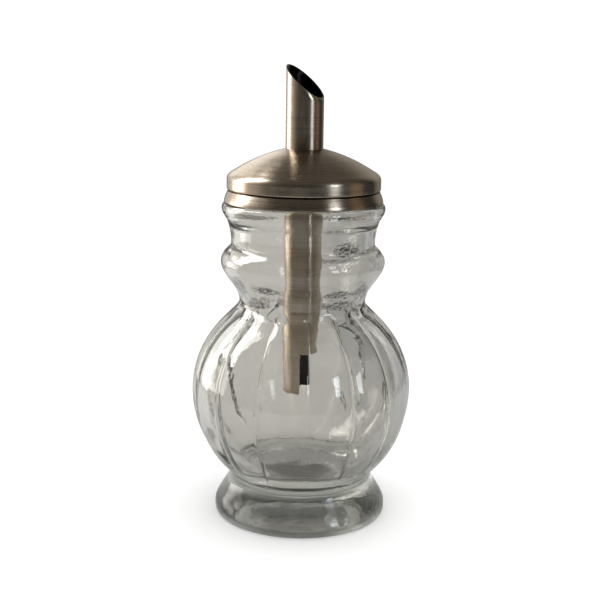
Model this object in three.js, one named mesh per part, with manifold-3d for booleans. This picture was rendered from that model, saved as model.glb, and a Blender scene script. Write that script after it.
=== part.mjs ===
// Sugar dispenser: a footed glass jar with a lobed bulb and a ringed neck, a pressed metal
// lid in two parts, and a slant-cut pouring tube that reaches through the lid into the bulb.
// Millimetres, +Z up. The origin is the middle of the circle the foot stands on.

import * as THREE from 'three';
import { mergeVertices } from 'three/addons/utils/BufferGeometryUtils.js';
import Module from 'manifold-3d';

// Clearance between pieces that touch
const gap = 0.3;

// Foot of the jar, hollowed underneath
const foot = { radius: 32.2, edge: 0.8, band: 2.6, flare: 1.3 };
const recess = { radius: 25.5, depth: 2.6 };
const footWaist = { radius: 27.0, height: 13.2 };

// Bulb, close to a sphere, whose shoulder runs straight up to the neck
const bulb = { radius: 40.6, centre: 46.5, drop: 40.4, rise: 38.5, start: 17.0, shoulder: 73.5 };

// Lobes pressed into the bulb; a valley lies just right of the front
const lobes = { count: 14, depth: 1.1, proud: 0.25, fadeLow: 12, fadeHigh: 3 };
const seamAzimuth = THREE.MathUtils.degToRad(2.5);

// Neck, its ring, and the bead under the lid
const neckWaist = { radius: 23.15, height: 79.4 };
const ring = { radius: 30.0, height: 95.2, corner: 101.0 };
const neckRadius = 26.3;
const bead = { radius: 29.7, foot: 110.2, height: 114.6, top: 116.5 };

// Plain mouth that the lid goes over
const mouth = { radius: 26.1, top: 120.9, edge: 0.9 };

// Inside of the jar, which widens behind the bead, with its thick floor
const wall = 3.4;
const boreRadius = 22.6;
const widening = { radius: 25.9, foot: 107.5, height: 113.8, top: 117.6 };
const cavity = {
  radius: bulb.radius - wall,
  rise: bulb.rise - wall,
  drop: 35.5,
  end: bulb.shoulder + 1.5,
  floor: 13.4,
  floorAngle: THREE.MathUtils.degToRad(65),
};

// How far the handles of each bend in the outline reach
const reach = {
  footWaist: 0.3,
  waist: 0.9,
  waistRise: 1.2,
  ringLow: 4.6,
  ringHigh: 2.6,
  corner: 1.75,
  neck: 3.0,
  neckFlare: 1.3,
  neckHollow: 0.3,
  bead: 1.4,
  innerRing: 3.8,
  innerWaist: 2.8,
  widening: 2.0,
};

// Lid: a flared collar, and a dome that drops to a short upright rim, with a groove between
const sheet = 0.6;
const groove = 0.65;
const rim = { radius: 27.85, bottom: 121.6, top: 125.2 };
const collar = { radius: 28.9, lip: 0.2, bottom: bead.top + gap, top: rim.bottom - groove, neck: 2.4 };
const collarBulge = 0.8;
const domeEdge = { radius: 25.3, height: 128.0, round: 1.25 };
const domeLow = { radius: 19.5, height: 131.8 };
const domeHigh = { radius: 13.0, height: 134.5 };
const domeTop = 135.9;

// Pouring tube, from its lower end in the bulb to the high tip of the spout
const tube = { radius: 6.8, wall: 0.6, low: 45.7, high: 165.5 };
const spout = { slant: THREE.MathUtils.degToRad(41.5), azimuth: THREE.MathUtils.degToRad(-27) };

// The half of the tube that faces this way is cut away below this height
const intake = { top: 61.0, azimuth: THREE.MathUtils.degToRad(-12) };

// How finely the round shapes are divided
const lobeSteps = 4;
const jarSegments = lobes.count * lobeSteps;
const lidSegments = 48;
const tubeSegments = 28;
const curveSteps = 3;
const collarSteps = 2;
const outerArcSteps = 8;
const innerArcSteps = 6;

const glass = new THREE.MeshStandardMaterial({
  color: 0xbdbbb6, roughness: 0.05, metalness: 0.0, transparent: true, opacity: 0.35,
});
const brushedSteel = new THREE.MeshStandardMaterial({
  color: 0xa39480, roughness: 0.35, metalness: 1.0,
});

// A profile is drawn as radius and height, up the outside and down the inside, then turned
function turned(points, segments) {
  const geometry = new THREE.LatheGeometry(points, segments);
  geometry.rotateX(Math.PI / 2);
  return geometry;
}

function namedMesh(name, geometry, material) {
  const mesh = new THREE.Mesh(geometry, material);
  mesh.name = name;
  return mesh;
}

// Angle on an ellipse about the bulb's centre at which it reaches a height
function angleAt(height, semiAxis) {
  return Math.asin((height - bulb.centre) / semiAxis);
}

// Points along an ellipse about the bulb's centre, without the first
function arcPoints(radius, semiAxis, from, to, steps) {
  const points = [];
  for (let step = 1; step <= steps; step += 1) {
    const angle = from + ((to - from) * step) / steps;
    points.push(new THREE.Vector2(
      radius * Math.cos(angle), bulb.centre + semiAxis * Math.sin(angle),
    ));
  }
  return points;
}

// Underside and foot, up to where the bulb starts
function footPoints() {
  const startRadius = bulb.radius * Math.cos(angleAt(bulb.start, bulb.drop));
  const path = new THREE.Path();
  path.moveTo(0, recess.depth);
  path.quadraticCurveTo((2 / 3) * recess.radius, recess.depth, recess.radius, 0);
  path.lineTo(foot.radius - foot.edge, 0);
  path.quadraticCurveTo(foot.radius, 0, foot.radius, foot.edge);
  path.lineTo(foot.radius, foot.band);
  path.bezierCurveTo(
    foot.radius, 2 * foot.band,
    footWaist.radius + foot.flare, footWaist.height - 3 * foot.flare,
    footWaist.radius, footWaist.height,
  );
  path.quadraticCurveTo(
    footWaist.radius - reach.footWaist, (footWaist.height + bulb.start) / 2,
    startRadius, bulb.start,
  );
  return path.getPoints(curveSteps);
}

// From the bulb's shoulder over the neck, its ring and the bead to the mouth
function neckPoints() {
  const path = new THREE.Path();
  path.moveTo(bulb.radius * Math.cos(angleAt(bulb.shoulder, bulb.rise)), bulb.shoulder);
  path.lineTo(neckWaist.radius + reach.waist, neckWaist.height - reach.waist);
  path.quadraticCurveTo(
    neckWaist.radius, neckWaist.height, neckWaist.radius, neckWaist.height + reach.waistRise,
  );
  path.bezierCurveTo(
    neckWaist.radius, (neckWaist.height + ring.height) / 2 - reach.waistRise,
    ring.radius, ring.height - reach.ringLow,
    ring.radius, ring.height,
  );
  path.bezierCurveTo(
    ring.radius, ring.height + reach.ringHigh,
    neckRadius + reach.corner, ring.corner - reach.corner,
    neckRadius, ring.corner,
  );
  path.bezierCurveTo(
    neckRadius - reach.neckHollow, ring.corner + reach.neck,
    neckRadius + reach.neckHollow, bead.foot - reach.neck,
    neckRadius + reach.neckFlare, bead.foot,
  );
  path.bezierCurveTo(
    bead.radius - reach.bead, bead.foot + reach.bead,
    bead.radius, bead.height - reach.bead,
    bead.radius, bead.height,
  );
  path.quadraticCurveTo(bead.radius, bead.top, bead.radius - reach.bead, bead.top);
  path.lineTo(mouth.radius, bead.top);
  path.lineTo(mouth.radius, mouth.top - mouth.edge);
  path.quadraticCurveTo(mouth.radius, mouth.top, mouth.radius - mouth.edge, mouth.top);
  return path.getPoints(curveSteps);
}

function outsidePoints() {
  const low = angleAt(bulb.start, bulb.drop);
  const high = angleAt(bulb.shoulder, bulb.rise);
  return [
    ...footPoints(),
    ...arcPoints(bulb.radius, bulb.drop, low, 0, outerArcSteps),
    ...arcPoints(bulb.radius, bulb.rise, 0, high, outerArcSteps - 1),
    ...neckPoints().slice(1),
  ];
}

// The inside wall, smooth, from the mouth down to the thick floor
function insidePoints() {
  const shoulder = angleAt(cavity.end, cavity.rise);
  const innerRing = ring.radius - wall;
  const innerWaist = neckWaist.radius - wall;
  const path = new THREE.Path();
  path.moveTo(boreRadius + mouth.edge, mouth.top);
  path.quadraticCurveTo(boreRadius, mouth.top, boreRadius, mouth.top - mouth.edge);
  path.lineTo(boreRadius, widening.top);
  path.bezierCurveTo(
    boreRadius, widening.top - reach.widening,
    widening.radius, widening.height + reach.widening,
    widening.radius, widening.height,
  );
  path.bezierCurveTo(
    widening.radius, widening.height - reach.widening,
    boreRadius, widening.foot + reach.widening,
    boreRadius, widening.foot,
  );
  path.lineTo(boreRadius, ring.corner + 1);
  path.bezierCurveTo(
    boreRadius, ring.corner - reach.corner,
    innerRing, ring.height + reach.innerRing,
    innerRing, ring.height,
  );
  path.bezierCurveTo(
    innerRing, ring.height - reach.innerRing,
    innerWaist, neckWaist.height + 2 * reach.innerRing,
    innerWaist, neckWaist.height + 1,
  );
  path.quadraticCurveTo(
    innerWaist, cavity.end + reach.innerWaist,
    cavity.radius * Math.cos(shoulder), cavity.end,
  );
  const points = [
    ...path.getPoints(curveSteps),
    ...arcPoints(cavity.radius, cavity.rise, shoulder, 0, innerArcSteps),
    ...arcPoints(cavity.radius, cavity.drop, 0, -cavity.floorAngle, innerArcSteps),
  ];
  const last = points[points.length - 1];
  const floor = new THREE.QuadraticBezierCurve(
    last,
    new THREE.Vector2((2 / 3) * last.x, cavity.floor),
    new THREE.Vector2(0, cavity.floor),
  );
  return [...points, ...floor.getPoints(curveSteps).slice(1)];
}

// How far the lobes are pressed at a height: full over the bulb, none beyond its ends
function lobeStrength(height) {
  const { smoothstep } = THREE.MathUtils;
  const low = smoothstep(height, footWaist.height + 2, bulb.start + lobes.fadeLow);
  const high = smoothstep(neckWaist.height - height, 0, lobes.fadeHigh);
  return low * high;
}

// Each lobe is a parabola across, proud in the middle, so neighbours meet in a narrow valley
function lobeInset(column) {
  const across = (2 * (column % lobeSteps)) / lobeSteps - 1;
  return lobes.depth * across * across - lobes.proud;
}

function jarGeometry() {
  const outside = outsidePoints();
  const profile = [...outside, ...insidePoints()];
  const geometry = new THREE.LatheGeometry(profile, jarSegments, seamAzimuth);
  const position = geometry.attributes.position;
  for (let column = 0; column <= jarSegments; column += 1) {
    for (let row = 1; row < outside.length; row += 1) {
      const { x: radius, y: height } = outside[row];
      const inset = lobeInset(column) * lobeStrength(height);
      const scale = (radius - inset) / radius;
      const index = column * profile.length + row;
      position.setX(index, position.getX(index) * scale);
      position.setZ(index, position.getZ(index) * scale);
    }
  }
  geometry.rotateX(Math.PI / 2);
  return geometry;
}

// The collar flares down over the mouth; its neck goes up inside the rim of the dome
function collarGeometry() {
  const neckOuter = rim.radius - sheet - gap;
  const neckInner = mouth.radius + gap;
  const topRadius = rim.radius - collar.lip;
  const path = new THREE.Path();
  path.moveTo(collar.radius - sheet, collar.bottom);
  path.lineTo(collar.radius - collar.lip, collar.bottom);
  path.quadraticCurveTo(
    collar.radius, collar.bottom, collar.radius - collar.lip, collar.bottom + 2 * sheet,
  );
  path.quadraticCurveTo(
    collar.radius - collarBulge, collar.top - 2 * sheet, topRadius, collar.top,
  );
  path.lineTo(neckOuter, collar.top);
  path.lineTo(neckOuter, collar.top + collar.neck);
  path.lineTo(neckInner, collar.top + collar.neck);
  path.lineTo(neckInner, collar.top - sheet);
  path.lineTo(topRadius - sheet, collar.top - sheet);
  path.quadraticCurveTo(
    collar.radius - collarBulge - sheet, collar.top - 3 * sheet,
    collar.radius - sheet, collar.bottom,
  );
  return turned(path.getPoints(collarSteps), lidSegments);
}

// The dome drops in a long curve to a rounded shoulder and a short upright rim
function domeGeometry() {
  const hole = tube.radius + gap;
  const inside = rim.radius - sheet;
  const path = new THREE.Path();
  path.moveTo(inside, rim.bottom);
  path.lineTo(rim.radius, rim.bottom);
  path.lineTo(rim.radius, rim.top);
  path.bezierCurveTo(
    rim.radius, rim.top + domeEdge.round,
    domeEdge.radius + domeEdge.round, domeEdge.height - sheet,
    domeEdge.radius, domeEdge.height,
  );
  path.bezierCurveTo(
    domeLow.radius, domeLow.height, domeHigh.radius, domeHigh.height, hole, domeTop,
  );
  path.lineTo(hole, domeTop - sheet);
  path.bezierCurveTo(
    domeHigh.radius, domeHigh.height - sheet,
    domeLow.radius - sheet / 2, domeLow.height - sheet,
    domeEdge.radius - sheet / 2, domeEdge.height - sheet,
  );
  path.quadraticCurveTo(inside, rim.top + 1, inside, rim.top);
  path.lineTo(inside, rim.bottom);
  return turned(path.getPoints(curveSteps), lidSegments);
}

const wasm = await Module();
wasm.setup();

function solidFrom(geometry) {
  const bare = geometry.clone();
  bare.deleteAttribute('normal');
  bare.deleteAttribute('uv');
  const merged = mergeVertices(bare);
  return new wasm.Manifold(new wasm.Mesh({
    numProp: 3,
    vertProperties: new Float32Array(merged.attributes.position.array),
    triVerts: new Uint32Array(merged.index.array),
  }));
}

function geometryFrom(solid) {
  const mesh = solid.getMesh();
  const geometry = new THREE.BufferGeometry();
  geometry.setAttribute('position', new THREE.BufferAttribute(mesh.vertProperties, 3));
  geometry.setIndex(new THREE.BufferAttribute(mesh.triVerts, 1));
  geometry.computeVertexNormals();
  return geometry;
}

// A block above the slanting plane of the spout
function spoutBlock() {
  const size = 10 * tube.radius;
  const block = new THREE.BoxGeometry(size, size, size);
  block.translate(0, 0, size / 2);
  block.rotateY(spout.slant);
  block.rotateZ(spout.azimuth);
  block.translate(0, 0, tube.high - tube.radius * Math.tan(spout.slant));
  return solidFrom(block);
}

// A block on one side of the tube's axis, below the top of the cut
function intakeBlock() {
  const size = 10 * tube.radius;
  const block = new THREE.BoxGeometry(size, size, size);
  block.translate(size / 2, 0, intake.top - size / 2);
  block.rotateZ(intake.azimuth);
  return solidFrom(block);
}

// A straight pipe with a slanted mouth at the top and half of its lower end cut away.
// It is turned so that the cut runs through the middle of its faces.
function tubeGeometry() {
  const bore = tube.radius - tube.wall;
  const top = tube.high + tube.radius;
  const pipe = turned([
    new THREE.Vector2(bore, tube.low),
    new THREE.Vector2(tube.radius, tube.low),
    new THREE.Vector2(tube.radius, top),
    new THREE.Vector2(bore, top),
    new THREE.Vector2(bore, tube.low),
  ], tubeSegments);
  pipe.rotateZ(intake.azimuth + Math.PI / tubeSegments);
  return geometryFrom(solidFrom(pipe).subtract(spoutBlock()).subtract(intakeBlock()));
}

const dispenser = new THREE.Group();
dispenser.add(namedMesh('glass_jar', jarGeometry(), glass));
dispenser.add(namedMesh('lid_collar', collarGeometry(), brushedSteel));
dispenser.add(namedMesh('lid_dome', domeGeometry(), brushedSteel));
dispenser.add(namedMesh('pour_tube', tubeGeometry(), brushedSteel));

export default dispenser;
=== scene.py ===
import math

import bpy
from mathutils import Matrix, Vector, noise


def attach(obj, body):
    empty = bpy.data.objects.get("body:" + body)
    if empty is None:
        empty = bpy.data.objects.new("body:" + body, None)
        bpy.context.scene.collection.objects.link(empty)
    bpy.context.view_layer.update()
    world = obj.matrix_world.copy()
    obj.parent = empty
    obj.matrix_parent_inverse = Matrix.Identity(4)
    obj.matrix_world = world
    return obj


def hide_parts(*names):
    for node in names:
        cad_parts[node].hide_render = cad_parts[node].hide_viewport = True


# Sugar dispenser: a lobed glass jar with a ringed neck, a domed metal lid and a pouring tube.
# Outlines are in millimetres, as radius and height, and everything else is in metres.

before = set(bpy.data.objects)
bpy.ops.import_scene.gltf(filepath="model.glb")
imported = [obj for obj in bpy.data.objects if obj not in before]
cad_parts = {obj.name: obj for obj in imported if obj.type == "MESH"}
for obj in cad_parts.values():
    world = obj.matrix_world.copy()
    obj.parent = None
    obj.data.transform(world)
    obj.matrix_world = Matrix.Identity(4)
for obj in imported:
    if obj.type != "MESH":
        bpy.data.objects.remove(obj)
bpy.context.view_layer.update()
mm = 0.001
print("frame loaded:", ", ".join(sorted(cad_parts)))


# Camera, a little above the lid and looking slightly down

camera = {
    "distance": 0.3906,   # in front of the axis, metres
    "height": 0.1667,
    "tiltDown": 12.48,    # degrees
    "turn": 0.12,
    "roll": 0.8,
    "lens": 64.96,        # millimetres on the sensor width below
    "sensor": 36.0,
}


def addCamera():
    data = bpy.data.cameras.new("camera")
    data.lens = camera["lens"]
    data.sensor_width = camera["sensor"]
    data.clip_start = 0.01
    item = bpy.data.objects.new("camera", data)
    bpy.context.scene.collection.objects.link(item)
    turn = Matrix.Rotation(math.radians(camera["turn"]), 4, "Z")
    tilt = Matrix.Rotation(math.radians(90 - camera["tiltDown"]), 4, "X")
    roll = Matrix.Rotation(math.radians(camera["roll"]), 4, "Z")
    place = Matrix.Translation((0, -camera["distance"], camera["height"]))
    item.matrix_world = place @ turn @ tilt @ roll
    bpy.context.scene.camera = item


# Shader maths: a wire is one socket, and an expression on wires adds its nodes

class Wire:
    def __init__(self, graph, socket):
        self.graph = graph
        self.socket = socket

    def __add__(self, other):
        return self.graph.math("ADD", self, other)

    def __radd__(self, other):
        return self.graph.math("ADD", other, self)

    def __sub__(self, other):
        return self.graph.math("SUBTRACT", self, other)

    def __rsub__(self, other):
        return self.graph.math("SUBTRACT", other, self)

    def __mul__(self, other):
        return self.graph.math("MULTIPLY", self, other)

    def __rmul__(self, other):
        return self.graph.math("MULTIPLY", other, self)

    def __truediv__(self, other):
        return self.graph.math("DIVIDE", self, other)

    def __pow__(self, other):
        return self.graph.math("POWER", self, other)

    def __lt__(self, other):
        return self.graph.math("LESS_THAN", self, other)

    def __gt__(self, other):
        return self.graph.math("GREATER_THAN", self, other)


class Graph:
    def __init__(self, tree):
        self.tree = tree
        tree.nodes.clear()

    def node(self, kind, settings=None, sockets=None, out=0):
        item = self.tree.nodes.new(kind)
        for key, value in (settings or {}).items():
            setattr(item, key, value)
        for key, value in (sockets or {}).items():
            socket = self.pick(item.inputs, key)
            if isinstance(value, Wire):
                self.tree.links.new(value.socket, socket)
            else:
                socket.default_value = value
        return Wire(self, self.pick(item.outputs, out)) if item.outputs else None

    def pick(self, sockets, key):
        if isinstance(key, int):
            return [s for s in sockets if s.enabled][key]
        return next(s for s in sockets if s.name == key and s.enabled)

    def math(self, operation, *values):
        return self.node("ShaderNodeMath", {"operation": operation}, dict(enumerate(values)))

    def vector(self, operation, first, second):
        return self.node("ShaderNodeVectorMath", {"operation": operation}, {0: first, 1: second})

    def mix(self, share, first, second):
        return self.node(
            "ShaderNodeMix",
            {"data_type": "RGBA", "clamp_factor": True},
            {"Factor": share, "A": solid(first), "B": solid(second)},
            "Result",
        )

    # 0 below the low value and 1 above the high one
    def ease(self, value, low, high):
        return self.node(
            "ShaderNodeMapRange",
            {"interpolation_type": "SMOOTHSTEP"},
            {"Value": value, "From Min": low, "From Max": high},
        )

    # 1 between start and end, and 0 outside them
    def band(self, value, start, end, soft):
        rise = self.ease(value, start - soft, start + soft)
        return rise * (1 - self.ease(value, end - soft, end + soft))

    def axes(self, place):
        return [self.node("ShaderNodeSeparateXYZ", None, {0: place}, axis) for axis in "XYZ"]

    # Degrees from 0 in front to 180 behind, negative on the left
    def azimuth(self, x, y):
        return self.math("ARCTAN2", x, -1 * y) * (180 / math.pi)

    def point(self, x, y, z):
        return self.node("ShaderNodeCombineXYZ", None, {"X": x, "Y": y, "Z": z})

    def noise(self, place, scale, detail=2.0, roughness=0.5):
        return self.node(
            "ShaderNodeTexNoise",
            None,
            {"Vector": place, "Scale": scale, "Detail": detail, "Roughness": roughness},
            "Fac",
        )


def solid(colour):
    if isinstance(colour, tuple) and len(colour) == 3:
        return (*colour, 1.0)
    return colour


def newMaterial(name):
    material = bpy.data.materials.new(name)
    material.use_nodes = True
    return material, Graph(material.node_tree)


# Outlines and turned meshes

onAxis = 1e-6   # a smaller radius counts as the axis itself


class Outline:
    def __init__(self, radius, height, pace):
        self.points = [(radius, height)]
        self.pace = pace

    # A straight line to one point, or a Bezier curve over two or three
    def bend(self, *controls):
        chain = [self.points[-1], *controls]
        length = sum(math.dist(a, b) for a, b in zip(chain, chain[1:]))
        steps = max(2, math.ceil(length / self.pace))
        for step in range(1, steps + 1):
            self.points.append(along(chain, step / steps))
        return self

    # Part of an ellipse about a centre on the axis
    def arc(self, centre, radius, semiAxis, start, end):
        steps = math.ceil(abs(end - start) * max(radius, semiAxis) / self.pace)
        for step in range(1, steps + 1):
            angle = start + (end - start) * step / steps
            self.points.append((radius * math.cos(angle), centre + semiAxis * math.sin(angle)))
        return self


def along(chain, share):
    while len(chain) > 1:
        chain = [
            (a[0] + (b[0] - a[0]) * share, a[1] + (b[1] - a[1]) * share)
            for a, b in zip(chain, chain[1:])
        ]
    return chain[0]


# The direction that points out of the outline at each of its points
def outward(points, closed):
    directions = []
    last = len(points) - 1
    for index in range(len(points)):
        before = points[index - 1] if index or closed else points[0]
        after = points[(index + 1) % len(points)] if index < last or closed else points[last]
        run = math.dist(before, after) or 1.0
        directions.append(((after[1] - before[1]) / run, (before[0] - after[0]) / run))
    return directions


def evenAngles(columns):
    return [2 * math.pi * column / columns for column in range(columns)]


# Turns an outline about the upright axis. place gives a corner's radius and height
# for a row and an angle, which starts at the front and grows towards +X.
def turned(name, rows, angles, place, closed):
    vertices = []
    rings = []
    columns = len(angles)
    for row in range(rows):
        ring = []
        for angle in angles:
            radius, height = place(row, angle)
            if radius < onAxis:
                if not ring:
                    vertices.append((0, 0, height * mm))
                    ring.append(len(vertices) - 1)
                continue
            ring.append(len(vertices))
            vertices.append((
                radius * math.sin(angle) * mm, -radius * math.cos(angle) * mm, height * mm,
            ))
        rings.append(ring if len(ring) > 1 else ring * columns)
    faces = []
    pairs = list(zip(rings, rings[1:] + rings[:1])) if closed else list(zip(rings, rings[1:]))
    for lower, upper in pairs:
        for column in range(columns):
            after = (column + 1) % columns
            corners = [lower[column], lower[after], upper[after], upper[column]]
            faces.append(list(dict.fromkeys(corners)))
    mesh = bpy.data.meshes.new(name)
    mesh.from_pydata(vertices, [], faces)
    mesh.validate()
    item = bpy.data.objects.new(name, mesh)
    bpy.context.scene.collection.objects.link(item)
    return item


def finishPiece(item, node, material, sharpAngle=60):
    item.data.shade_smooth()
    item.data.set_sharp_from_angle(angle=math.radians(sharpAngle))
    item.data.materials.append(material)
    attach(item, "root")
    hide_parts(node)
    print("made", item.name, "with", len(item.data.polygons), "faces")


def smoothStep(value, low, high):
    share = min(1.0, max(0.0, (value - low) / (high - low)))
    return share * share * (3 - 2 * share)


# Glass jar

jar = {
    "footRadius": 32.2, "footEdge": 0.8, "footBand": 2.6, "footFlare": 1.3,
    "recessRadius": 25.5, "recessDepth": 2.6,
    "footWaistRadius": 27.0, "footWaistHeight": 13.2, "footWaistReach": 0.3,
    "bulbRadius": 40.6, "bulbCentre": 46.5, "bulbDrop": 40.4, "bulbRise": 38.5,
    "bulbStart": 17.0, "shoulder": 73.5,
    "waistRadius": 23.15, "waistHeight": 79.4, "waistReach": 0.9, "waistRise": 1.2,
    "ringRadius": 30.0, "ringHeight": 95.2, "ringCorner": 101.0,
    "ringLow": 4.6, "ringHigh": 2.6, "cornerReach": 1.75,
    "neckRadius": 26.3, "neckReach": 3.0, "neckFlare": 1.3, "neckHollow": 0.3,
    "beadRadius": 29.7, "beadFoot": 110.2, "beadHeight": 114.6, "beadTop": 116.5, "beadReach": 1.4,
    "mouthRadius": 26.1, "mouthTop": 120.9, "mouthEdge": 0.9,
    "wall": 3.4, "boreRadius": 22.6,
    "wideRadius": 25.9, "wideFoot": 107.5, "wideHeight": 113.8, "wideTop": 117.6, "wideReach": 2.0,
    "cavityDrop": 35.5, "cavityFloor": 13.4, "floorAngle": 65.0,
    "innerShoulder": 75.0, "innerRise": 1.0, "innerRingReach": 3.8, "innerWaistReach": 2.8,
    "pace": 1.15, "columnsPerLobe": 20,
}

lobes = {
    "count": 14,
    "depth": 1.1,        # how far a valley lies inside the middle of a lobe
    "proud": 0.12,       # how far the middle of a lobe stands outside the outline
    "rounding": 0.05,    # share of a lobe's half width over which a valley is rounded
    "notchDepth": 0.16, "notchWidth": 0.07,   # a narrow crease along each valley
    "crowding": 0.75,    # how strongly the columns of the mesh gather at the valleys
    "inside": 0.7,       # share of the depth that shows on the inner wall
    "seam": 2.5,         # degrees from the front to the first valley
    "drift": 2.0, "driftPower": 40,   # how far that valley stands off its even place
    "fadeStart": 2.0, "fadeLow": 12.0, "fadeHigh": 3.0,
}

# Unevenness of pressed glass: the size and depth of each kind of wave, and where in the noise
# it is taken from. It sets in and dies out over the heights given, and inside over a radius.
waves = {
    "outer": {"size": 9.0, "depth": 0.05, "shift": 11.0, "start": (1.0, 6.0), "end": (112.0, 116.0)},
    "foot": {"size": 2.6, "depth": 0.08, "shift": 44.0, "start": (0.5, 3.0), "end": (10.0, 14.0)},
    "inner": {"size": 10.0, "depth": 0.08, "shift": 22.0},
    "dimple": {"size": 3.4, "depth": 0.035, "shift": 33.0},
    "insideStart": (0.0, 8.0), "insideEnd": (112.0, 119.0),
}


def angleAt(height, semiAxis):
    return math.asin((height - jar["bulbCentre"]) / semiAxis)


def jarOutside():
    j = jar
    startRadius = j["bulbRadius"] * math.cos(angleAt(j["bulbStart"], j["bulbDrop"]))
    line = Outline(0, j["recessDepth"], j["pace"])
    line.bend((j["recessRadius"] * 2 / 3, j["recessDepth"]), (j["recessRadius"], 0))
    line.bend((j["footRadius"] - j["footEdge"], 0))
    line.bend((j["footRadius"], 0), (j["footRadius"], j["footEdge"]))
    line.bend((j["footRadius"], j["footBand"]))
    line.bend(
        (j["footRadius"], 2 * j["footBand"]),
        (j["footWaistRadius"] + j["footFlare"], j["footWaistHeight"] - 3 * j["footFlare"]),
        (j["footWaistRadius"], j["footWaistHeight"]),
    )
    line.bend(
        (j["footWaistRadius"] - j["footWaistReach"], (j["footWaistHeight"] + j["bulbStart"]) / 2),
        (startRadius, j["bulbStart"]),
    )
    low = angleAt(j["bulbStart"], j["bulbDrop"])
    high = angleAt(j["shoulder"], j["bulbRise"])
    line.arc(j["bulbCentre"], j["bulbRadius"], j["bulbDrop"], low, 0)
    line.arc(j["bulbCentre"], j["bulbRadius"], j["bulbRise"], 0, high)
    line.bend((j["waistRadius"] + j["waistReach"], j["waistHeight"] - j["waistReach"]))
    line.bend(
        (j["waistRadius"], j["waistHeight"]),
        (j["waistRadius"], j["waistHeight"] + j["waistRise"]),
    )
    line.bend(
        (j["waistRadius"], (j["waistHeight"] + j["ringHeight"]) / 2 - j["waistRise"]),
        (j["ringRadius"], j["ringHeight"] - j["ringLow"]),
        (j["ringRadius"], j["ringHeight"]),
    )
    line.bend(
        (j["ringRadius"], j["ringHeight"] + j["ringHigh"]),
        (j["neckRadius"] + j["cornerReach"], j["ringCorner"] - j["cornerReach"]),
        (j["neckRadius"], j["ringCorner"]),
    )
    line.bend(
        (j["neckRadius"] - j["neckHollow"], j["ringCorner"] + j["neckReach"]),
        (j["neckRadius"] + j["neckHollow"], j["beadFoot"] - j["neckReach"]),
        (j["neckRadius"] + j["neckFlare"], j["beadFoot"]),
    )
    line.bend(
        (j["beadRadius"] - j["beadReach"], j["beadFoot"] + j["beadReach"]),
        (j["beadRadius"], j["beadHeight"] - j["beadReach"]),
        (j["beadRadius"], j["beadHeight"]),
    )
    line.bend((j["beadRadius"], j["beadTop"]), (j["beadRadius"] - j["beadReach"], j["beadTop"]))
    line.bend((j["mouthRadius"], j["beadTop"]))
    line.bend((j["mouthRadius"], j["mouthTop"] - j["mouthEdge"]))
    line.bend(
        (j["mouthRadius"], j["mouthTop"]), (j["mouthRadius"] - j["mouthEdge"], j["mouthTop"]),
    )
    return line.points


def jarInside(start):
    j = jar
    cavityRadius = j["bulbRadius"] - j["wall"]
    cavityRise = j["bulbRise"] - j["wall"]
    innerRing = j["ringRadius"] - j["wall"]
    innerWaist = j["waistRadius"] - j["wall"]
    line = Outline(*start, j["pace"])
    line.bend((j["boreRadius"] + j["mouthEdge"], j["mouthTop"]))
    line.bend((j["boreRadius"], j["mouthTop"]), (j["boreRadius"], j["mouthTop"] - j["mouthEdge"]))
    line.bend((j["boreRadius"], j["wideTop"]))
    line.bend(
        (j["boreRadius"], j["wideTop"] - j["wideReach"]),
        (j["wideRadius"], j["wideHeight"] + j["wideReach"]),
        (j["wideRadius"], j["wideHeight"]),
    )
    line.bend(
        (j["wideRadius"], j["wideHeight"] - j["wideReach"]),
        (j["boreRadius"], j["wideFoot"] + j["wideReach"]),
        (j["boreRadius"], j["wideFoot"]),
    )
    line.bend((j["boreRadius"], j["ringCorner"] + j["innerRise"]))
    line.bend(
        (j["boreRadius"], j["ringCorner"] - j["cornerReach"]),
        (innerRing, j["ringHeight"] + j["innerRingReach"]),
        (innerRing, j["ringHeight"]),
    )
    line.bend(
        (innerRing, j["ringHeight"] - j["innerRingReach"]),
        (innerWaist, j["waistHeight"] + 2 * j["innerRingReach"]),
        (innerWaist, j["waistHeight"] + j["innerRise"]),
    )
    shoulder = angleAt(j["innerShoulder"], cavityRise)
    line.bend(
        (innerWaist, j["innerShoulder"] + j["innerWaistReach"]),
        (cavityRadius * math.cos(shoulder), j["innerShoulder"]),
    )
    line.arc(j["bulbCentre"], cavityRadius, cavityRise, shoulder, 0)
    line.arc(j["bulbCentre"], cavityRadius, j["cavityDrop"], 0, -math.radians(j["floorAngle"]))
    last = line.points[-1]
    line.bend((last[0] * 2 / 3, j["cavityFloor"]), (0, j["cavityFloor"]))
    return line.points[1:]


# The lobes are even all round but for the valley in front, which stands a little to the right
def drift(angle):
    return math.radians(lobes["drift"]) * max(0.0, math.cos(angle)) ** lobes["driftPower"]


# Angles of the columns, which crowd together towards each valley
def lobeAngles():
    columns = lobes["count"] * jar["columnsPerLobe"]
    angles = []
    for column in range(columns):
        share = column / jar["columnsPerLobe"]
        share -= lobes["crowding"] * math.sin(2 * math.pi * share) / (2 * math.pi)
        angle = math.radians(lobes["seam"]) + 2 * math.pi * share / lobes["count"]
        angles.append(angle + drift(angle))
    return angles


# How far a lobe draws the wall in at an angle and a height
def lobeInset(angle, height):
    width = 2 * math.pi / lobes["count"]
    even = angle - drift(angle - drift(angle))
    across = abs(2 * (((even - math.radians(lobes["seam"])) / width) % 1.0) - 1)
    over = max(0.0, across - 1 + lobes["rounding"])
    shape = across * across - over * over / lobes["rounding"]
    notch = lobes["notchDepth"] * smoothStep(across, 1 - lobes["notchWidth"], 1)
    start = jar["footWaistHeight"] + lobes["fadeStart"]
    low = smoothStep(height, start, jar["bulbStart"] + lobes["fadeLow"])
    high = smoothStep(jar["waistHeight"] - height, 0, lobes["fadeHigh"])
    return (lobes["depth"] * shape + notch - lobes["proud"]) * low * high


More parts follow.
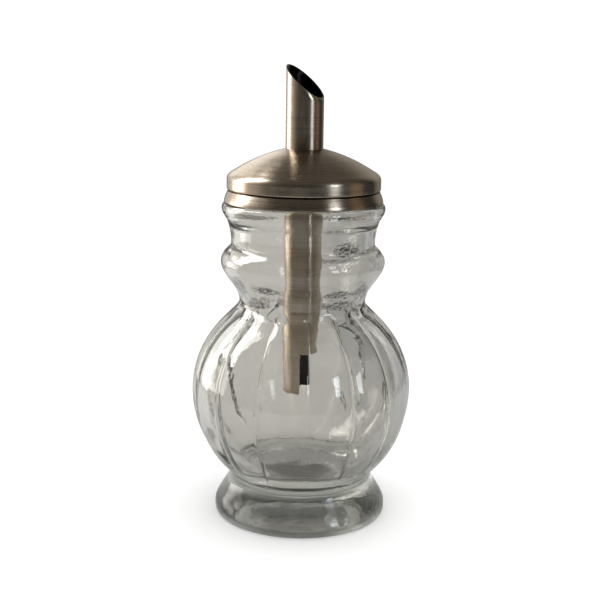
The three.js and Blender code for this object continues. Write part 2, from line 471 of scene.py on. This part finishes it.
def wave(kind, radius, angle, height):
    w = waves[kind]
    place = Vector((radius * math.sin(angle), -radius * math.cos(angle), height)) / w["size"]
    return w["depth"] * noise.noise(place + Vector((w["shift"], 2 * w["shift"], 3 * w["shift"])))


def outerWave(kind, radius, angle, height):
    share = smoothStep(height, *waves[kind]["start"]) * (1 - smoothStep(height, *waves[kind]["end"]))
    return wave(kind, radius, angle, height) * share


def innerWaves(radius, angle, height):
    share = smoothStep(radius, *waves["insideStart"]) * (1 - smoothStep(height, *waves["insideEnd"]))
    return (wave("inner", radius, angle, height) + wave("dimple", radius, angle, height)) * share


def makeJar(material):
    outside = jarOutside()
    points = outside + jarInside(outside[-1])
    directions = outward(points, closed=False)

    def place(row, angle):
        radius, height = points[row]
        across, up = directions[row]
        if radius < onAxis:
            return radius, height
        if row < len(outside):
            push = outerWave("outer", radius, angle, height) + outerWave("foot", radius, angle, height)
            inset = lobeInset(angle, height)
        else:
            push = innerWaves(radius, angle, height)
            inset = lobes["inside"] * lobeInset(angle, height)
        return radius - inset + push * across, height + push * up

    item = turned("jar_glass", len(points), lobeAngles(), place, False)
    finishPiece(item, "glass_jar", material)


glassLook = {
    "tint": (0.80, 0.79, 0.765),
    "ior": 1.5,
    "absorbed": (0.2, 0.26, 0.2),
    "density": 9.0,
    "rippleScale": 220.0,
    "fineScale": 750.0, "fineShare": 0.3,
    # The surface is crinkled and has thin dark cracks in the patches below, low on the right
    # and on all of the foot
    "crinkleScale": 620.0, "squash": 2.2,
    "crackScale": 460.0, "crackWidth": 0.055, "crackAndShadeTint": (0.03, 0.03, 0.03),
    "patchCrinkles": 5.0, "patchCore": 0.3,
    "sideFrom": 0.014, "sideBelow": 0.038, "sideSoft": 0.015, "sideCrinkles": 3.0, "sideCracks": 0.5,
    "footBelow": 0.014, "footSoft": 0.003, "footCrinkles": 2.0, "footCracks": 0.4,
    # painted shade: the darker edge at the bottom of the foot
    "rimLow": 0.0022, "rimHigh": 0.0036, "rimShade": 0.3,
    "bump": 0.5, "bumpDepth": 0.0001,
}

# Crinkled patches: azimuth in degrees from the front and height in metres, each with its reach
glassPatches = [
    {"azimuth": 37, "height": 0.1025, "wide": 14, "tall": 0.0036},
    {"azimuth": 29, "height": 0.0873, "wide": 13, "tall": 0.0018},
    {"azimuth": 56, "height": 0.0877, "wide": 12, "tall": 0.002},
    {"azimuth": 33, "height": 0.0826, "wide": 20, "tall": 0.0022},
    {"azimuth": -30, "height": 0.0885, "wide": 16, "tall": 0.0016},
    {"azimuth": -42, "height": 0.0822, "wide": 14, "tall": 0.002},
    {"azimuth": -66, "height": 0.088, "wide": 12, "tall": 0.003},
    {"azimuth": -56, "height": 0.1028, "wide": 12, "tall": 0.0018},
    {"azimuth": -64, "height": 0.033, "wide": 6, "tall": 0.003},
    {"azimuth": 150, "height": 0.09, "wide": 30, "tall": 0.003},
]

# Dark wavy lines in the glass: azimuth at the top and bottom in degrees, heights in metres
glassLines = [
    {"top": -47.0, "bottom": -44.0, "high": 0.050, "low": 0.032, "width": 0.8},
    {"top": -43.5, "bottom": -35.0, "high": 0.0345, "low": 0.030, "width": 2.2},
    {"top": 50.5, "bottom": 47.0, "high": 0.0565, "low": 0.045, "width": 1.1},
    {"top": 21.0, "bottom": 23.0, "high": 0.058, "low": 0.049, "width": 0.6},
]
lineLook = {
    "wander": 5.0, "wanderScale": 220.0,
    "raggedScale": 1100.0, "raggedLow": 0.35, "raggedHigh": 0.5,
    "endSoft": 0.002, "height": 3.0,
}


def crinkledPatches(graph, azimuth, z):
    total = 0
    for patch in glassPatches:
        across = (azimuth - patch["azimuth"]) / patch["wide"]
        up = (z - patch["height"]) / patch["tall"]
        total = 1 - graph.ease(across * across + up * up, glassLook["patchCore"], 1) + total
    return total


def wavyLines(graph, azimuth, z, place):
    look = lineLook
    azimuth += (graph.noise(place, look["wanderScale"], 3.0) - 0.5) * look["wander"]
    total = 0
    for line in glassLines:
        lean = (line["top"] - line["bottom"]) / (line["high"] - line["low"])
        middle = (z - line["low"]) * lean + line["bottom"]
        near = 1 - graph.ease(graph.math("ABSOLUTE", azimuth - middle), 0, line["width"])
        near *= graph.ease(z, line["low"], line["low"] + look["endSoft"])
        near *= 1 - graph.ease(z, line["high"] - look["endSoft"], line["high"])
        total = near + total
    return total * graph.ease(graph.noise(place, look["raggedScale"]), look["raggedLow"], look["raggedHigh"])


def clearGlass():
    material, graph = newMaterial("clear_pressed_glass")
    look = glassLook
    place = graph.node("ShaderNodeTexCoord", out="Object")
    x, y, z = graph.axes(place)
    azimuth = graph.azimuth(x, y)
    patches = crinkledPatches(graph, azimuth, z)
    lines = wavyLines(graph, azimuth, z, place)
    side = graph.ease(x, look["sideFrom"], look["sideFrom"] + look["sideSoft"])
    side *= 1 - graph.ease(z, look["sideBelow"] - look["sideSoft"], look["sideBelow"])
    foot = 1 - graph.ease(z, look["footBelow"] - look["footSoft"], look["footBelow"])
    flat = graph.point(x, y, z * look["squash"])

    share = patches * look["patchCrinkles"] + side * look["sideCrinkles"] + foot * look["footCrinkles"]
    crinkle = (graph.noise(flat, look["crinkleScale"], 3.0) - 0.5) * share
    height = graph.noise(place, look["rippleScale"]) + crinkle + lines * lineLook["height"]
    height += graph.noise(place, look["fineScale"]) * look["fineShare"]

    away = graph.math("ABSOLUTE", graph.noise(flat, look["crackScale"]) - 0.5)
    cracked = patches + side * look["sideCracks"] + foot * look["footCracks"]
    cracks = (1 - graph.ease(away, look["crackWidth"] / 2, look["crackWidth"])) * cracked
    # Painted shade: the glass is tinted darker at the bottom edge of the foot
    paintedRimShade = (1 - graph.ease(z, look["rimLow"], look["rimHigh"])) * look["rimShade"]
    marksAndPaintedShade = graph.math("MAXIMUM", graph.math("MAXIMUM", cracks, lines), paintedRimShade)
    normal = graph.node(
        "ShaderNodeBump", None,
        {"Strength": look["bump"], "Distance": look["bumpDepth"], "Height": height},
    )
    shader = graph.node("ShaderNodeBsdfPrincipled", None, {
        "Base Color": graph.mix(marksAndPaintedShade, look["tint"], look["crackAndShadeTint"]),
        "Roughness": 0.0,
        "IOR": look["ior"],
        "Transmission Weight": 1.0,
        "Normal": normal,
    })
    volume = graph.node("ShaderNodeVolumeAbsorption", None, {
        "Color": solid(look["absorbed"]), "Density": look["density"],
    })
    graph.node("ShaderNodeOutputMaterial", None, {"Surface": shader, "Volume": volume})
    return material


# Metal lid

lid = {
    "sheet": 0.6, "gap": 0.3, "edge": 0.2,
    "rimRadius": 27.85, "rimBottom": 121.6, "rimTop": 125.2,
    "collarRadius": 28.9, "collarLip": 0.2, "collarBottom": 116.8, "collarTop": 120.95,
    "collarNeck": 2.4, "collarBulge": 0.8,
    "edgeRadius": 25.3, "edgeHeight": 128.0, "edgeRound": 1.25,
    "lowRadius": 19.5, "lowHeight": 131.8, "highRadius": 13.0, "highHeight": 134.5,
    "domeTop": 135.9, "holeGap": 0.05,
    "pace": 0.35, "columns": 240,
}


def makeCollar(material):
    c = lid
    neckOuter = c["rimRadius"] - c["sheet"] - c["gap"]
    neckInner = jar["mouthRadius"] + c["gap"]
    topRadius = c["rimRadius"] - c["collarLip"]
    bottom = c["collarBottom"]
    top = c["collarTop"]
    line = Outline(c["collarRadius"] - c["sheet"], bottom, c["pace"])
    line.bend((c["collarRadius"] - c["collarLip"], bottom))
    line.bend(
        (c["collarRadius"], bottom), (c["collarRadius"] - c["collarLip"], bottom + 2 * c["sheet"]),
    )
    line.bend(
        (c["collarRadius"] - c["collarBulge"], top - 2 * c["sheet"]), (topRadius, top - c["edge"]),
    )
    line.bend((topRadius, top), (topRadius - c["edge"], top))
    line.bend((neckOuter, top))
    line.bend((neckOuter, top + c["collarNeck"]))
    line.bend((neckInner, top + c["collarNeck"]))
    line.bend((neckInner, top - c["sheet"]))
    line.bend((topRadius - c["sheet"], top - c["sheet"]))
    line.bend(
        (c["collarRadius"] - c["collarBulge"] - c["sheet"], top - 3 * c["sheet"]),
        (c["collarRadius"] - c["sheet"], bottom),
    )
    points = line.points[:-1]
    around = evenAngles(c["columns"])
    item = turned("collar_band", len(points), around, lambda row, angle: points[row], True)
    finishPiece(item, "lid_collar", material, 40)


def makeDome(material):
    c = lid
    hole = tube["radius"] + c["holeGap"]
    inside = c["rimRadius"] - c["sheet"]
    line = Outline(inside, c["rimBottom"], c["pace"])
    line.bend((c["rimRadius"] - c["edge"], c["rimBottom"]))
    line.bend((c["rimRadius"], c["rimBottom"]), (c["rimRadius"], c["rimBottom"] + c["edge"]))
    line.bend((c["rimRadius"], c["rimTop"]))
    line.bend(
        (c["rimRadius"], c["rimTop"] + c["edgeRound"]),
        (c["edgeRadius"] + c["edgeRound"], c["edgeHeight"] - c["sheet"]),
        (c["edgeRadius"], c["edgeHeight"]),
    )
    line.bend(
        (c["lowRadius"], c["lowHeight"]), (c["highRadius"], c["highHeight"]), (hole, c["domeTop"]),
    )
    line.bend((hole, c["domeTop"] - c["sheet"]))
    line.bend(
        (c["highRadius"], c["highHeight"] - c["sheet"]),
        (c["lowRadius"] - c["sheet"] / 2, c["lowHeight"] - c["sheet"]),
        (c["edgeRadius"] - c["sheet"] / 2, c["edgeHeight"] - c["sheet"]),
    )
    line.bend((inside, c["rimTop"] + 1), (inside, c["rimTop"]))
    line.bend((inside, c["rimBottom"]))
    points = line.points[:-1]
    around = evenAngles(c["columns"])
    item = turned("dome_cover", len(points), around, lambda row, angle: points[row], True)
    finishPiece(item, "lid_dome", material, 40)


# Pouring tube, with a slanted spout and half of its lower end cut away

tube = {
    "radius": 6.8, "wall": 0.6, "low": 45.7, "high": 165.5, "edge": 0.12,
    "spoutSlant": 41.5, "spoutAzimuth": -27.0,     # degrees
    "intakeTop": 61.0, "intakeAzimuth": -12.0,
    "rows": 60, "columns": 120,
}


# Takes away all that lies on one side of the axis below a height
def cutAway(item, azimuth, top):
    size = 0.03   # metres, more than the tube is wide
    turn = Matrix.Rotation(math.radians(azimuth), 3, "Z")
    sides = [(0, -size), (size, -size), (size, size), (0, size)]
    corners = [turn @ Vector((x, y, z)) for z in (0, top * mm) for x, y in sides]
    faces = [(0, 3, 2, 1), (4, 5, 6, 7), (0, 1, 5, 4), (1, 2, 6, 5), (2, 3, 7, 6), (3, 0, 4, 7)]
    mesh = bpy.data.meshes.new("block")
    mesh.from_pydata(corners, [], faces)
    block = bpy.data.objects.new("block", mesh)
    bpy.context.scene.collection.objects.link(block)
    modifier = item.modifiers.new("cut", "BOOLEAN")
    modifier.operation = "DIFFERENCE"
    modifier.object = block
    shaped = item.evaluated_get(bpy.context.evaluated_depsgraph_get())
    item.data = bpy.data.meshes.new_from_object(shaped)
    item.modifiers.clear()
    bpy.data.objects.remove(block)


def makeTube(material):
    t = tube
    bore = t["radius"] - t["wall"]
    spoutRise = math.tan(math.radians(t["spoutSlant"]))
    spoutAzimuth = math.radians(t["spoutAzimuth"])

    def spoutHeight(radius, angle):
        x = radius * math.sin(angle)
        y = -radius * math.cos(angle)
        reach = x * math.cos(spoutAzimuth) + y * math.sin(spoutAzimuth)
        return t["high"] - (t["radius"] + reach) * spoutRise

    # Each row is a radius, a share of the way from the lower end to the spout, and a step
    # back from either
    edge = t["edge"]
    wallRows = [step / t["rows"] for step in range(t["rows"] + 1)]
    rows = [(bore + edge, 0, 0), (t["radius"] - edge, 0, 0)]
    rows += [(t["radius"], share, edge) for share in wallRows]
    rows += [(t["radius"] - edge, 1, 0), (bore + edge, 1, 0)]
    rows += [(bore, share, edge) for share in reversed(wallRows)]

    def place(row, angle):
        radius, share, back = rows[row]
        low = t["low"] + back
        high = spoutHeight(radius, angle) - back
        return radius, low + (high - low) * share

    item = turned("tube_pipe", len(rows), evenAngles(t["columns"]), place, True)
    cutAway(item, t["intakeAzimuth"], t["intakeTop"])
    finishPiece(item, "pour_tube", material, 50)


lidLook = {
    "dark": (0.40, 0.335, 0.265), "light": (0.60, 0.52, 0.425),
    "roughLow": 0.24, "roughHigh": 0.36,
    "fine": 2600.0, "run": 28.0, "outwards": 1.0, "upwards": -1.0,
    # painted shade: the gap between the dome's rim and the collar, and the dome round the foot of the tube
    "paintedShade": (0.05, 0.028, 0.018), "grooveLow": 0.1209, "grooveHigh": 0.1216, "grooveRadius": 0.0273,
    "jointRadius": 0.0068, "jointEnd": 0.012, "jointHeight": 0.13, "jointShadeShare": 0.7,
}

tubeLook = {
    "dark": (0.42, 0.355, 0.285), "light": (0.62, 0.54, 0.445),
    "roughLow": 0.27, "roughHigh": 0.4,
    "fine": 2400.0, "run": 30.0, "outwards": 0.0, "upwards": 1.0,
    # painted shade: the bore colour is nearly black, standing in for the shadow inside the pipe
    "bore": (0.012, 0.01, 0.01), "boreRadius": 0.0063, "skinRadius": 0.0067,
}

# What the two kinds of steel share
brushing = {
    "lineLow": 0.3, "lineHigh": 0.7, "lineShare": 0.7,
    "wearScale": 90.0,
    "smudgeScale": 210.0, "smudgeLow": 0.45, "smudgeHigh": 0.7, "smudgeShare": 0.4,
    "grooveSoft": 0.0001,
    "bump": 0.2, "depth": 0.00003, "anisotropy": 0.75, "turn": 0.25,
}


# Steel brushed in circles: fine lines follow the turn, with broad faint patches of wear
def brushedSteel(name, look):
    material, graph = newMaterial(name)
    b = brushing
    place = graph.node("ShaderNodeTexCoord", out="Object")
    x, y, z = graph.axes(place)
    radius = (x * x + y * y) ** 0.5
    across = (radius * look["outwards"] + z * look["upwards"]) * look["fine"]
    lines = graph.noise(graph.point(x * look["run"], y * look["run"], across), 1.0, 3.0, 0.6)
    wear = graph.noise(place, b["wearScale"], 3.0)
    smudges = graph.ease(graph.noise(place, b["smudgeScale"]), b["smudgeLow"], b["smudgeHigh"])
    shade = graph.ease(lines, b["lineLow"], b["lineHigh"]) * b["lineShare"] + wear * (1 - b["lineShare"])
    colour = graph.mix(shade, look["dark"], look["light"])
    # Painted shade: inside the bore the colour is nearly black, as its own shadow would make it
    if "bore" in look:
        unshadedSkin = graph.ease(radius, look["boreRadius"], look["skinRadius"])
        colour = graph.mix(unshadedSkin, look["bore"], colour)
    # Painted shade: the groove between the dome's rim and the collar and the dome round the foot of the tube
    # are coloured dark, as if shaded
    if "grooveLow" in look:
        grooveShade = graph.ease(z, look["grooveLow"] - b["grooveSoft"], look["grooveLow"])
        grooveShade *= 1 - graph.ease(z, look["grooveHigh"], look["grooveHigh"] + b["grooveSoft"])
        grooveShade *= 1 - graph.ease(radius, look["grooveRadius"], look["grooveRadius"] + 2 * b["grooveSoft"])
        jointShade = 1 - graph.ease(radius, look["jointRadius"], look["jointEnd"])
        jointShade *= look["jointShadeShare"] * (z > look["jointHeight"])
        colour = graph.mix(graph.math("MAXIMUM", grooveShade, jointShade), colour, look["paintedShade"])
    uneven = lines * (1 - b["smudgeShare"]) + smudges * b["smudgeShare"]
    rough = uneven * (look["roughHigh"] - look["roughLow"]) + look["roughLow"]
    normal = graph.node(
        "ShaderNodeBump", None,
        {"Strength": b["bump"], "Distance": b["depth"], "Height": lines},
    )
    shader = graph.node("ShaderNodeBsdfPrincipled", None, {
        "Base Color": colour,
        "Metallic": 1.0,
        "Roughness": rough,
        "Anisotropic": b["anisotropy"],
        "Anisotropic Rotation": b["turn"],
        "Normal": normal,
    })
    graph.node("ShaderNodeOutputMaterial", None, {"Surface": shader})
    return material


# Pale round table, soft light and what the metal and glass reflect

studio = {
    "tableRadius": 0.3, "tableDrop": 0.0002, "tableEdges": 96,
    "tableSeen": (0.98, 0.98, 0.98), "tableReach": (-0.01, 0.07),
    # painted shadow under the foot, from the middle outwards, and a painted glow there that stands in for
    # light let in, each with the distances from the axis over which it ends
    "shadowMiddle": (0.45, 0.45, 0.44), "middleEnd": (0.016, 0.019),
    "shadowRecess": (0.98, 0.98, 0.96), "recessEnd": (0.024, 0.027),
    "shadowRing": (0.85, 0.85, 0.83), "ringEnd": (0.03, 0.036),
    "paintedGlowColour": (0.5, 0.5, 0.48), "glowStart": (0.018, 0.02), "glowEnd": (0.031, 0.032),
    "windowAim": 0.08,
    "white": 1.12,
    "ambient": 1.35,
}

# The room. A turn or a band is in degrees, and a reach or a rise is a part of the direction
# to the right or upwards.
room = {
    "sideTurn": (60, 120),
    # what is seen through the glass: near the horizon on the left and right, and overhead
    "throughLeft": (0.84, 0.83, 0.805), "throughRight": (0.56, 0.56, 0.55), "throughReach": (-0.02, 0.1),
    "throughSide": (0.34, 0.34, 0.345), "throughSideReach": (0.08, 0.35),
    "throughHigh": (0.45, 0.44, 0.42),
    # what bare metal and the outside of the glass reflect
    "frontLeft": (0.03, 0.026, 0.022), "frontRight": (0.02, 0.019, 0.019), "frontTurn": (-40, 15),
    "leftGlow": (0.5, 0.44, 0.37), "glowTurn": (-40, -100),
    "warmSide": (0.23, 0.165, 0.105), "warmBand": (74, 97, 4),
    "darkSide": (0.04, 0.042, 0.046), "darkBand": (100, 118, 4),
    "behindLow": (0.22, 0.2, 0.18), "behindMiddle": (0.38, 0.36, 0.32),
    "behindRise": (-0.2, 0.3), "behindTurn": (122, 140),
    "ceiling": (0.095, 0.083, 0.07), "ceilingRise": (0.3, 0.8),
    # the same for rays that have been inside the glass
    "insideFront": (0.42, 0.41, 0.385), "insideBehind": (0.78, 0.77, 0.74),
    "insideRight": (0.52, 0.52, 0.52), "insideRightReach": (0.2, 0.5),
    "insideHigh": (0.27, 0.27, 0.265), "insideRise": (-0.02, 0.08),
    "insideHighSide": (0.66, 0.66, 0.64), "insideSideReach": (0.2, 0.6),
    "uneven": 0.8, "unevenScale": 5.0,
    # and for those that have crossed the jar
    "acrossFront": (0.14, 0.12, 0.1), "acrossBehind": (0.6, 0.58, 0.54),
    "acrossSide": (1.3, 1.24, 1.14), "acrossSideBand": (-150, -78, 6),
    "acrossLine": (0.95, 1.02, 1.1), "acrossLineBand": (42, 50, 2),
    "acrossHigh": (0.42, 0.42, 0.41), "acrossRise": (0.02, 0.12),
}


def addTable(material):
    radius = studio["tableRadius"]
    corners = [
        (radius * math.cos(turn), radius * math.sin(turn), -studio["tableDrop"])
        for turn in evenAngles(studio["tableEdges"])
    ]
    mesh = bpy.data.meshes.new("table")
    mesh.from_pydata(corners, [], [list(range(len(corners)))])
    item = bpy.data.objects.new("table", mesh)
    bpy.context.scene.collection.objects.link(item)
    mesh.materials.append(material)


# White to the eye. To other rays it has painted shade: as grey as the room is through the glass and darker
# on the right, with a painted shadow and a painted glow under the foot
def tableFinish():
    material, graph = newMaterial("pale_table")
    x, y, z = graph.axes(graph.node("ShaderNodeTexCoord", out="Object"))
    # Painted shade: the table's colour for rays not from the camera copies the room's grey, darker on the
    # right
    left, right = (
        tuple(part / studio["ambient"] for part in room[side])
        for side in ("throughLeft", "throughRight")
    )
    paintedShadeThroughGlass = graph.mix(graph.ease(x, *studio["tableReach"]), left, right)
    radius = (x * x + y * y) ** 0.5
    # Painted shadow under the foot, for rays that are not from the camera
    paintedShadowUnder = graph.mix(
        graph.ease(radius, *studio["middleEnd"]), studio["shadowMiddle"], studio["shadowRecess"],
    )
    paintedShadowUnder = graph.mix(graph.ease(radius, *studio["recessEnd"]), paintedShadowUnder, studio["shadowRing"])
    paintedShadeThroughGlass = graph.mix(graph.ease(radius, *studio["ringEnd"]), paintedShadowUnder, paintedShadeThroughGlass)
    # Painted glow: a ring under the foot gives off light, though no lamp is there
    paintedGlow = graph.ease(radius, *studio["glowStart"]) * (1 - graph.ease(radius, *studio["glowEnd"]))
    isCamera = graph.node("ShaderNodeLightPath", out="Is Camera Ray")
    shader = graph.node("ShaderNodeBsdfPrincipled", None, {
        "Base Color": graph.mix(isCamera, paintedShadeThroughGlass, studio["tableSeen"]),
        "Emission Color": graph.mix(paintedGlow, (0.0, 0.0, 0.0), studio["paintedGlowColour"]),
        "Emission Strength": 1.0,
        "Roughness": 0.9,
        "Specular IOR Level": 0.1,
    })
    graph.node("ShaderNodeOutputMaterial", None, {"Surface": shader})
    return material


def addRoom():
    world = bpy.data.worlds.new("room")
    bpy.context.scene.world = world
    world.use_nodes = True
    graph = Graph(world.node_tree)
    direction = graph.node("ShaderNodeTexCoord", out="Generated")
    x, y, z = graph.axes(direction)
    azimuth = graph.azimuth(x, y)
    turn = graph.math("ABSOLUTE", azimuth)

    front = graph.mix(graph.ease(azimuth, *room["frontTurn"]), room["frontLeft"], room["frontRight"])
    front = graph.mix(graph.ease(azimuth, *room["glowTurn"]), front, room["leftGlow"])
    front = graph.mix(graph.band(azimuth, *room["warmBand"]), front, room["warmSide"])
    front = graph.mix(graph.band(azimuth, *room["darkBand"]), front, room["darkSide"])
    back = graph.mix(graph.ease(z, *room["behindRise"]), room["behindLow"], room["behindMiddle"])
    reflected = graph.mix(graph.ease(turn, *room["behindTurn"]), front, back)
    reflected = graph.mix(graph.ease(z, *room["ceilingRise"]), reflected, room["ceiling"])

    inside = graph.mix(graph.ease(turn, *room["sideTurn"]), room["insideFront"], room["insideBehind"])
    inside = graph.mix(graph.ease(x, *room["insideRightReach"]), inside, room["insideRight"])
    sideways = graph.ease(graph.math("ABSOLUTE", x), *room["insideSideReach"])
    high = graph.mix(sideways, room["insideHigh"], room["insideHighSide"])
    inside = graph.mix(graph.ease(z, *room["insideRise"]), inside, high)
    uneven = graph.noise(direction, room["unevenScale"], 3.0) * 2 * room["uneven"]
    uneven += 1 - room["uneven"]
    inside = graph.vector("MULTIPLY", inside, graph.point(uneven, uneven, uneven))

    across = graph.mix(graph.ease(turn, *room["sideTurn"]), room["acrossFront"], room["acrossBehind"])
    across = graph.mix(graph.band(azimuth, *room["acrossSideBand"]), across, room["acrossSide"])
    across = graph.mix(graph.band(azimuth, *room["acrossLineBand"]), across, room["acrossLine"])
    across = graph.mix(graph.ease(z, *room["acrossRise"]), across, room["acrossHigh"])

    through = graph.mix(graph.ease(x, *room["throughReach"]), room["throughLeft"], room["throughRight"])
    through = graph.mix(graph.ease(x, *room["throughSideReach"]), through, room["throughSide"])
    through = graph.mix(graph.ease(z, *room["ceilingRise"]), through, room["throughHigh"])

    isCamera, isDiffuse, glossyDepth, transmissionDepth = (
        graph.node("ShaderNodeLightPath", out=name)
        for name in ("Is Camera Ray", "Is Diffuse Ray", "Glossy Depth", "Transmission Depth")
    )
    mirrored = graph.mix(transmissionDepth < 0.5, inside, reflected)
    mirrored = graph.mix(transmissionDepth < 2.5, across, mirrored)
    seen = graph.mix(glossyDepth < 0.5, mirrored, through)
    seen = graph.mix(isDiffuse, seen, (studio["ambient"],) * 3)
    seen = graph.mix(isCamera, seen, (studio["white"],) * 3)
    shader = graph.node("ShaderNodeBackground", None, {"Color": seen, "Strength": 1.0})
    graph.node("ShaderNodeOutputWorld", None, {"Surface": shader})


# Each window: its direction in degrees, distance, width and height in metres, brightness and
# colour. All face the middle of the jar.
windows = {
    "window_left": {
        "azimuth": -105.0, "elevation": 38.0, "far": 0.9, "size": (0.3, 0.72), "light": 11.5,
        "colour": (1.0, 0.98, 0.95),
    },
    "window_side": {
        "azimuth": -133.0, "elevation": 16.0, "far": 0.9, "size": (0.7, 0.9), "light": 0.5,
        "colour": (1.0, 0.97, 0.93),
    },
    "window_behind": {
        "azimuth": -164.0, "elevation": 24.0, "far": 0.9, "size": (0.4, 0.4), "light": 1.0,
        "colour": (1.0, 0.97, 0.93), "notThroughGlass": True,
    },
    "window_low": {
        "azimuth": -112.0, "elevation": 0.0, "far": 0.9, "size": (0.5, 0.3), "light": 3.4,
        "colour": (1.0, 0.96, 0.9),
    },
    "window_right": {
        "azimuth": 46.0, "elevation": 15.0, "far": 1.1, "size": (0.22, 0.38), "light": 7.5,
        "colour": (0.85, 0.93, 1.0),
    },
}


def addWindow(name, w):
    data = bpy.data.lights.new(name, "AREA")
    data.shape = "RECTANGLE"
    data.size, data.size_y = w["size"]
    area = data.size * data.size_y
    data.energy = w["light"] * area * math.pi
    data.color = w["colour"]
    item = bpy.data.objects.new(name, data)
    bpy.context.scene.collection.objects.link(item)
    azimuth = math.radians(w["azimuth"])
    elevation = math.radians(w["elevation"])
    direction = Vector((
        math.sin(azimuth) * math.cos(elevation),
        -math.cos(azimuth) * math.cos(elevation),
        math.sin(elevation),
    ))
    item.location = Vector((0, 0, studio["windowAim"])) + direction * w["far"]
    item.rotation_euler = direction.to_track_quat("Z", "Y").to_euler()
    item.visible_camera = False
    item.visible_diffuse = False
    item.visible_transmission = not w.get("notThroughGlass")


addCamera()
addTable(tableFinish())
addRoom()
for windowName, window in windows.items():
    addWindow(windowName, window)
bpy.context.scene.view_settings.view_transform = "Standard"
bpy.context.scene.cycles.glossy_bounces = 12   # light turns many times inside the thick foot
print("camera, table and light placed")

makeJar(clearGlass())
lidSteel = brushedSteel("brushed_lid_steel", lidLook)
makeCollar(lidSteel)
makeDome(lidSteel)
makeTube(brushedSteel("brushed_tube_steel", tubeLook))
